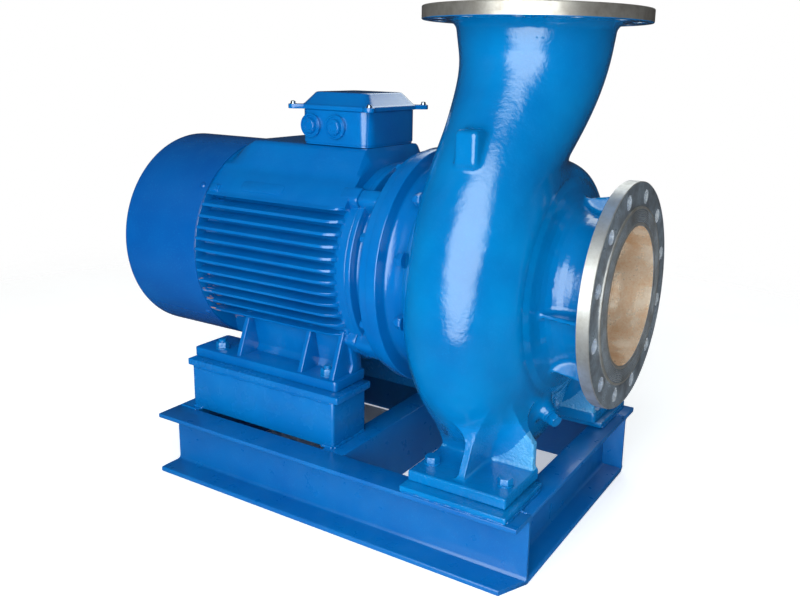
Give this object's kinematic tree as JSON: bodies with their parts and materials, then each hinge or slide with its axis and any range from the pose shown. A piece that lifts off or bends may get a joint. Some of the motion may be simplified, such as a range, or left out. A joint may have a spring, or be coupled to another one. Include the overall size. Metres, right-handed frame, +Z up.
{
  "type": "close-coupled centrifugal pump set",
  "caption": "Close-coupled end suction centrifugal pump with foot and flange mounted motor on a channel base, upright discharge, blue enamel.",
  "frame": {"origin": "on the floor, under the middle of the shaft's length from cowl to suction face", "axes": "+X along the shaft from the motor to the suction flange, +Y away from the side that the picture shows, +Z up"},
  "size_m": [1.06, 0.596, 0.955],
  "materials": {
    "blue_enamel": "glossy blue enamel over castings, pressings and channel",
    "machined_flange": "bare turned metal",
    "bare_shaft": "bare ground steel",
    "cast_impeller": "as cast iron",
    "black_fan": "moulded black plastic"
  },
  "bodies": {
    "root": {"base_front_beam": "blue_enamel", "base_back_beam": "blue_enamel", "base_motor_end_beam": "blue_enamel", "base_suction_end_beam": "blue_enamel", "base_cross_beam": "blue_enamel", "motor_pedestal_front": "blue_enamel", "motor_pedestal_back": "blue_enamel", "pedestal_plate_front": "blue_enamel", "pedestal_plate_back": "blue_enamel", "packing_plate_front": "blue_enamel", "packing_plate_back": "blue_enamel", "motor_frame": "blue_enamel", "rear_end_shield": "blue_enamel", "drive_end_shield": "blue_enamel", "fan_cowl": "blue_enamel", "cooling_fan": "black_fan", "motor_shaft": "bare_shaft", "terminal_box": "blue_enamel", "terminal_box_lid": "blue_enamel", "gland_plug_front_a": "blue_enamel", "gland_plug_front_b": "blue_enamel", "gland_plug_side": "blue_enamel", "pump_adapter": "blue_enamel", "volute_casing": "blue_enamel", "suction_flange": "machined_flange", "discharge_flange": "machined_flange", "pump_foot_front": "blue_enamel", "pump_foot_back": "blue_enamel", "impeller": "cast_impeller", "drain_plug": "blue_enamel"}
  },
  "joints": []
}
